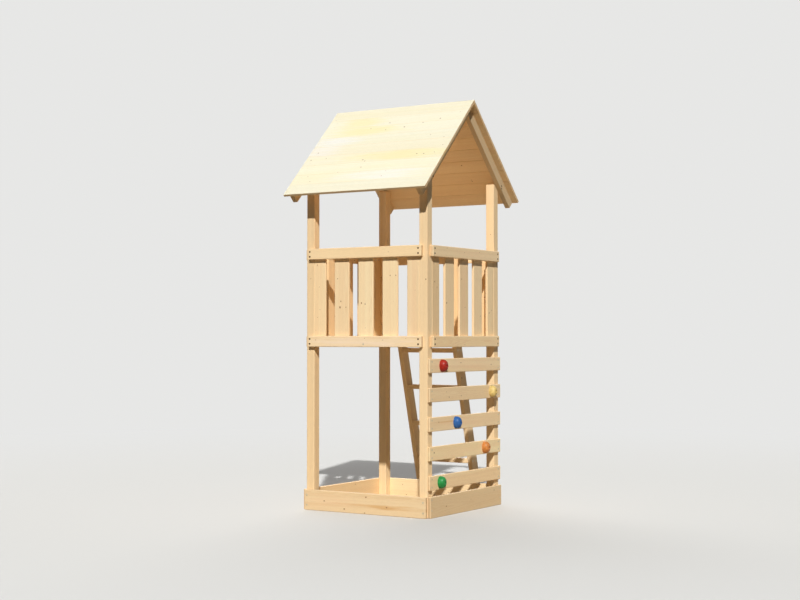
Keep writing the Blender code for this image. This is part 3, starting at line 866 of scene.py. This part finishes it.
def ladder_screws():
    """Two through a stringer into each tread, and two through the rail into each stringer."""
    rail_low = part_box("lower_rail_back")[0]
    for end in ENDS:
        stringer = "ladder_stringer_" + end
        for tread in nodes_named("ladder_tread"):
            middle = middle_of(tread)
            for step in (-1, 1):
                place = middle.y + step * TREAD_SCREW_SPACING / 2
                yield Vector((side_face(stringer, end), place, middle.z)), OUTWARD[end]
        for rise in LADDER_SCREW_RISES:
            yield Vector((middle_of(stringer).x, rail_low.y, rail_low.z + rise)), -ALONG_Y


def joist_screws():
    """From inside through the outer joists, and through the rails into the middle one."""
    for end, inner in zip(ENDS, reversed(ENDS)):
        joist = "deck_joist_" + end
        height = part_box(joist)[0].z + JOIST_SCREW_RISE
        for y_sign in (-1, 1):
            place = TOWER_Y + y_sign * POST_MIDDLE
            yield Vector((side_face(joist, inner), place, height)), -OUTWARD[end]
    for side in ("front", "back"):
        low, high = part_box("lower_rail_" + side)
        face = low.y if side == "front" else high.y
        yield Vector((0, face, middle_of("deck_joist_middle").z)), OUTWARD[side]


def rafter_screws():
    """Two through the foot of each rafter into its post."""
    for end in ENDS:
        for slope, y_sign in SLOPES.items():
            face = side_face(f"rafter_{slope}_{end}", end)
            post_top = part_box(f"post_{slope}_{end}")[1].z
            for drop in RAFTER_SCREW_DROPS:
                place = TOWER_Y + y_sign * RAFTER_SCREW_REACH
                yield Vector((face, place, post_top - drop)), OUTWARD[end]


def slat_screws():
    """From inside through each slat, two at its foot and two at the upper rail."""
    rail_middle = middle_of("upper_rail_front").z
    for node in nodes_named("slat_"):
        outward = OUTWARD[node.split("_")[1]]
        along = UPRIGHT.cross(outward)
        low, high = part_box(node)
        across = abs(along.dot(high - low)) / 2 - SLAT_SCREW_INSET
        inner = middle_of(node) - outward * abs(outward.dot(high - low)) / 2
        for height in (low.z + SLAT_SCREW_RISE, rail_middle):
            for step in (-1, 1):
                point = inner + along * across * step
                yield Vector((point.x, point.y, height)), -outward


def build_screws():
    """Screws in the timbers' holes, and those that hold the slats and the floor boards."""
    screw = screw_template()
    for name, spots, steel in (
            ("deck_screws", deck_screws(), bolt_steel),
            ("rail_screws", rail_screws(), screw_steel),
            ("rafter_screws", rafter_screws(), screw_steel),
            ("sandbox_screws", sandbox_screws(), bolt_steel),
            ("climbing_board_screws", climbing_screws(), bolt_steel),
            ("ladder_screws", ladder_screws(), bolt_steel),
            ("joist_screws", joist_screws(), bolt_steel),
            ("slat_screws", slat_screws(), bolt_steel)):
        build_fasteners(name, screw, spots, steel)


# Roof
def slope_axes(slope):
    """The directions down a slope and out from its top face."""
    y_sign = SLOPES[slope]
    cosine, sine = math.cos(ROOF_PITCH), math.sin(ROOF_PITCH)
    return Vector((0, y_sign * cosine, -sine)), Vector((0, y_sign * sine, cosine))


def slope_place(slope, down, out):
    """YZ place of a point measured down a slope and out from its top face."""
    y = down * math.cos(ROOF_PITCH) + out * math.sin(ROOF_PITCH)
    z = RIDGE_HEIGHT - down * math.sin(ROOF_PITCH) + out * math.cos(ROOF_PITCH)
    return Vector((0, TOWER_Y + SLOPES[slope] * y, z))


def tongue_corners(edge, slack):
    """Corners of a tongue, or of a groove with its slack, from the underside outwards."""
    middle = -ROOF_THICKNESS / 2
    half = TONGUE_HALF + slack
    tip = edge - TONGUE_REACH - slack
    return [(edge, middle - half), (tip, middle - half + TONGUE_TAPER),
            (tip, middle + half - TONGUE_TAPER), (edge, middle + half)]


def roof_board_section(number):
    """Section of a roof board in (down, out): a tongue above and a groove below."""
    start = number * BOARD_COVER + JOINT_GAP
    end = (number + 1) * BOARD_COVER - JOINT_GAP
    under = -ROOF_THICKNESS
    if number == 0:
        points = [((RIDGE_GAP - out * math.sin(ROOF_PITCH)) / math.cos(ROOF_PITCH), out)
                  for out in (under, 0)]
    else:
        points = [(start + UNDERSIDE_ARRIS, under), (start, under + UNDERSIDE_ARRIS),
                  *tongue_corners(start, 0), (start, -TOP_ARRIS), (start + TOP_ARRIS, 0)]
    if number == ROOF_BOARDS - 1:
        edge = end + JOINT_GAP
        points += [(edge - TOP_ARRIS / 2, 0), (edge, -TOP_ARRIS / 2), (edge, under + TOP_ARRIS),
                   (edge - TOP_ARRIS, under)]
    else:
        points += [(end - TOP_ARRIS, 0), (end, -TOP_ARRIS),
                   *reversed(tongue_corners(end, GROOVE_SLACK)),
                   (end, under + UNDERSIDE_ARRIS), (end - UNDERSIDE_ARRIS, under)]
    return points


def roof_board_shape(slope, number, left, right):
    """A roof board, its section drawn out from the left to the right."""
    shape = bmesh.new()
    corners = [shape.verts.new(slope_place(slope, *point) + ALONG_X * left)
               for point in roof_board_section(number)]
    draw_out(shape, [shape.faces.new(corners)], ALONG_X * (right - left))
    return shape


def roof_patches(number, middle):
    """The stretch with a tone of its own on a front board, if one is listed."""
    if number not in ROOF_PATCHES:
        return []
    near, far, tint = ROOF_PATCHES[number]
    half_size = ((far - near) / 2, BOARD_COVER * 0.75, BOARD_COVER)
    return [(middle + ALONG_X * (near + far) / 2, half_size, tint)]


def build_roof_board(slope, number):
    """One tongue-and-groove board of a slope, in wood of its own."""
    name = f"roof_board_{slope}_{number + 1}"
    chance = random.Random(name)
    left = -GABLE + chance.uniform(0, ROOF_END_PLAY)
    right = GABLE - chance.uniform(0, ROOF_END_PLAY)
    shape = roof_board_shape(slope, number, left, right)

    down_slope, out_slope = slope_axes(slope)
    start = slope_place(slope, number * BOARD_COVER, 0)
    middle = start + down_slope * BOARD_COVER / 2 - out_slope * ROOF_THICKNESS / 2
    if slope == "front":
        shares, patches = ROOF_KNOTS.get(number + 1, ()), roof_patches(number + 1, middle)
    else:
        shares, patches = scattered_knots(chance, most=4, margin=0.025), ()
    knots = [(start + ALONG_X * (2 * along - 1) * GABLE + down_slope * across * BOARD_COVER,
              radius / 1000, out_slope) for along, across, radius in shares]
    # The roof's top faces get paler colours, painted sunlight
    wood = make_wood("wood_" + name, middle, ALONG_X, out_slope, knots, patches,
                     top=ROOF_PAINTED_SUNLIGHT, heart=0.3, rings=0.35)
    piece = new_piece(name, shape, wood)
    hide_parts("roof_slope_" + slope)


def roof_nails(slope):
    """Two through each end of every board of a slope into the rafters."""
    _, out_slope = slope_axes(slope)
    rafter_middle = middle_of("rafter_front_right").x
    for number in range(ROOF_BOARDS):
        for x_sign in (-1, 1):
            for share in NAIL_SHARES:
                place = slope_place(slope, (number + share) * BOARD_COVER, 0)
                yield place + ALONG_X * x_sign * rafter_middle, out_slope


def build_roof():
    """Nine boards on each slope, nailed to the rafters."""
    nail = nail_template()
    for slope in SLOPES:
        for number in range(ROOF_BOARDS):
            build_roof_board(slope, number)
        build_fasteners("roof_nails_" + slope, nail, roof_nails(slope), bolt_steel)


# Deck
def deck_outline():
    """Corners of the whole floor round the tower's middle, clear of the posts and slats."""
    between = POST_INNER - FIT_GAP
    sill_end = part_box("slat_back_2")[0].x - FIT_GAP
    reach = DECK_REACH
    return (
        (-between, -reach), (between, -reach), (between, -between), (reach, -between),
        (reach, between), (between, between), (between, reach), (sill_end, reach),
        (sill_end, HALF), (-between, HALF), (-between, between), (-reach, between),
        (-reach, -between), (-between, -between),
    )


def deck_board_shape(number, start):
    """A floor board with eased edges, cut from the floor's outline."""
    low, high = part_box("deck_floor")
    shape = bmesh.new()
    shape.faces.new([shape.verts.new((x, TOWER_Y + y, low.z)) for x, y in deck_outline()])
    cuts = []
    if number > 0:
        cuts.append((start + DECK_GAP / 2, -ALONG_Y))
    if number < DECK_BOARDS - 1:
        cuts.append((start + DECK_PITCH - DECK_GAP / 2, ALONG_Y))
    for place, outer in cuts:
        bmesh.ops.bisect_plane(shape, geom=shape.verts[:] + shape.edges[:] + shape.faces[:],
                               plane_co=(0, place, 0), plane_no=outer, clear_outer=True)
    bmesh.ops.dissolve_faces(shape, faces=shape.faces)
    draw_out(shape, shape.faces[:], UPRIGHT * (high.z - low.z))
    edges = [edge for edge in shape.edges if len(edge.link_faces) == 2]
    bmesh.ops.bevel(shape, geom=edges, offset=DECK_ARRIS, segments=2, profile=0.5,
                    affect="EDGES", material=-1)
    return shape


def deck_knots(name, middle, top):
    """Knots at random on the top of a floor board."""
    chance = random.Random(name)
    return [(Vector((chance.uniform(-DECK_KNOT_REACH, DECK_KNOT_REACH),
                     middle.y + chance.uniform(-DECK_KNOT_PLAY, DECK_KNOT_PLAY), top)),
             chance.uniform(3, 6) / 1000, UPRIGHT) for _ in range(DECK_KNOTS)]


def build_deck():
    """Floor boards from the front to the back."""
    low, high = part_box("deck_floor")
    for number in range(DECK_BOARDS):
        name = f"deck_board_{number + 1}"
        start = TOWER_Y - DECK_REACH + number * DECK_PITCH
        middle = Vector((0, start + DECK_PITCH / 2, (low.z + high.z) / 2))
        wood = make_wood("wood_" + name, middle, ALONG_X, UPRIGHT,
                         deck_knots(name, middle, high.z))
        piece = new_piece(name, deck_board_shape(number, start), wood,
                          SHARP_ANGLE)
        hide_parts("deck_floor")


# Holds
def stand_out(shape, point):
    """Turns a shape made upright to stand out along X, and moves it to its place."""
    stand = Matrix(((0, 0, 1), (1, 0, 0), (0, 1, 0))).to_4x4()
    bmesh.ops.transform(shape, matrix=Matrix.Translation(point) @ stand, verts=shape.verts)


def hold_shape(seat):
    """An egg-shaped, slightly uneven hold with a recess and a bore for its bolt."""
    angles = [HOLD_TOP * step / HOLD_STEPS for step in range(2, HOLD_STEPS + 1)]
    dome = [(HOLD_WIDTH / 2 * math.cos(angle) ** HOLD_FULLNESS,
             HOLD_DEPTH * math.sin(angle) ** HOLD_FULLNESS) for angle in angles]
    rim = [(HOLD_WIDTH / 2 - HOLD_RIM, 0), (HOLD_WIDTH / 2, HOLD_RIM)]
    lip = HOLD_RECESS_RADIUS
    floor = HOLD_DEPTH - HOLD_SEAT_DEPTH
    recess = [(lip + 0.0004, HOLD_DEPTH - 0.0012), (lip, HOLD_DEPTH - 0.0022), (lip, floor),
              (HOLD_BORE_RADIUS, floor), (HOLD_BORE_RADIUS, 0)]
    shape = turned(rim + dome + recess + rim[:1], segments=64)
    for vertex in shape.verts:
        distance = vertex.co.xy.length
        if distance > lip + 0.0003:
            share = min(1, (distance - lip) / HOLD_BLEND)
            vertex.co.y *= 1 + (HOLD_HEIGHT / HOLD_WIDTH - 1) * share
            swell = noise.noise(vertex.co * HOLD_SWELL_SCALE + seat * HOLD_SWELL_SHIFT)
            vertex.co.xy *= 1 - abs(swell * HOLD_UNEVENNESS * share) / distance
    return shape


def bolt_shape():
    """A bolt with a hexagon socket, on its washer, which sits at z = 0."""
    shape = turned((
        (0, 0.0026), (0.0022, 0.0026), (0.0026, 0.0052), (0.0048, 0.0052), (0.0056, 0.0046),
        (0.0060, 0.0034), (0.0060, 0.0016), (0.0078, 0.0015), (0.0080, 0.0010),
        (0.0080, 0.0001), (0.0030, 0.0001), (0.0030, -0.030), (0, -0.030),
    ), segments=36)
    sector = math.tau / BOLT_SOCKET_SIDES
    for vertex in shape.verts:
        distance = vertex.co.xy.length
        if 0.001 < distance < 0.0027 and vertex.co.z > 0.002:
            angle = math.atan2(vertex.co.y, vertex.co.x) % sector - sector / 2
            vertex.co.xy *= math.cos(sector / 2) / math.cos(angle)
    return shape


def build_holds():
    """A moulded hold on each climbing board, with its bolt."""
    for colour_name, colour in HOLD_COLOURS.items():
        node = "hold_" + colour_name
        middle = middle_of(node)
        seat = Vector((side_face(node, "left"), middle.y, middle.z))
        shape = hold_shape(seat)
        stand_out(shape, seat)
        piece = new_piece("climbing_hold_" + colour_name, shape,
                          make_plastic("resin_" + colour_name, colour),
                          HOLD_SHARP_ANGLE)
        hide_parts(node)

        bolt = bolt_shape()
        stand_out(bolt, seat + ALONG_X * (HOLD_DEPTH - HOLD_SEAT_DEPTH))
        new_piece("hold_bolt_" + colour_name, bolt, bolt_steel, SHARP_ANGLE)


# Stage, lamps and camera
def background_rays(tree):
    """One for the rays that show the background: direct, mirrored or let through."""
    rays = put(tree, "ShaderNodeLightPath").outputs
    mirrored = sums(tree, "MAXIMUM", rays["Is Camera Ray"], rays["Is Glossy Ray"])
    return sums(tree, "MAXIMUM", mirrored, rays["Is Transmission Ray"])


def make_floor_finish():
    """Plain pale floor that fades into the backdrop and throws light back from close by."""
    material, tree, shader = new_material("floor")
    seen = background_rays(tree)
    away = vectors(tree, "LENGTH", object_place(tree))
    bounced = blend(tree, ease(tree, away, 2.0, 3.5), BOUNCE_NEAR, BOUNCE_FAR)
    feed(tree, shader, {"Base Color": blend(tree, seen, bounced, FLOOR), "Roughness": 0.9,
                        "Specular IOR Level": 0.1})
    glow = put(tree, "ShaderNodeEmission", {"Color": BACKDROP, "Strength": 1.0})
    fade = sums(tree, "MULTIPLY", ease(tree, away, 2.5, 9.0), seen)
    mixed = put(tree, "ShaderNodeMixShader", {0: fade, 1: shader.outputs[0], 2: glow.outputs[0]})
    feed(tree, tree.nodes["Material Output"], {"Surface": mixed.outputs[0]})
    return material


def build_floor():
    """A wide round floor."""
    shape = bmesh.new()
    bmesh.ops.create_circle(shape, cap_ends=True, segments=96, radius=FLOOR_RADIUS)
    mesh = as_mesh("floor", shape)
    mesh.materials.append(make_floor_finish())
    add_object("floor", mesh)


def build_sky():
    """An even backdrop, with a faint sky for the light alone."""
    world = bpy.data.worlds.new("sky")
    bpy.context.scene.world = world
    world.use_nodes = True
    tree = world.node_tree
    sky = put(tree, "ShaderNodeBackground", {"Color": (1.0, 0.97, 0.93, 1), "Strength": 0.04})
    wall = put(tree, "ShaderNodeBackground", {"Color": BACKDROP, "Strength": 1.0})
    mixed = put(tree, "ShaderNodeMixShader",
                {0: background_rays(tree), 1: sky.outputs[0], 2: wall.outputs[0]})
    feed(tree, tree.nodes["World Output"], {"Surface": mixed.outputs[0]})


def new_lamp(name, kind, energy, colour):
    """Adds a lamp to the scene."""
    data = bpy.data.lights.new(name, kind)
    data.energy = energy
    data.color = colour
    return add_object(name, data)


def build_sun(name, energy, colour, spread, azimuth, height):
    """A distant lamp of a given spread, seen at an azimuth and a height in degrees."""
    lamp = new_lamp(name, "SUN", energy, colour)
    lamp.data.angle = math.radians(spread)
    azimuth, height = math.radians(azimuth), math.radians(height)
    to_lamp = Vector((math.sin(azimuth) * math.cos(height),
                      -math.cos(azimuth) * math.cos(height), math.sin(height)))
    lamp.rotation_euler = to_lamp.to_track_quat("Z", "Y").to_euler()


def build_lamps():
    """A sunny key from the front, a soft fill from behind and a small one under the roof."""
    build_sun("key_light", energy=4.0, colour=(1.0, 1.0, 0.98),
              spread=1.2, azimuth=32, height=38.5)
    build_sun("back_fill", energy=1.7, colour=(1.0, 0.98, 0.96),
              spread=60, azimuth=222, height=32)

    # Stands in for the light that a sunlit deck throws up into the roof
    lamp = new_lamp("roof_fill", "AREA", energy=1.3, colour=(1.0, 0.74, 0.50))
    lamp.data.size = 0.7
    lamp.location = (0, TOWER_Y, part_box("upper_rail_front")[1].z)
    lamp.rotation_euler = (math.pi, 0, 0)
    lamp.visible_camera = False
    lamp.visible_glossy = False


def place_camera():
    """The camera, at the photograph's point of view."""
    data = bpy.data.cameras.new("camera")
    data.lens = CAMERA_LENS
    camera = add_object("camera", data)
    camera.location = CAMERA_PLACE
    camera.rotation_euler = CAMERA_TURN
    bpy.context.scene.camera = camera


dress_timbers()
build_roof()
build_deck()
build_screws()
build_holds()
build_floor()
build_sky()
build_lamps()
place_camera()
bpy.context.scene.view_settings.view_transform = "Standard"
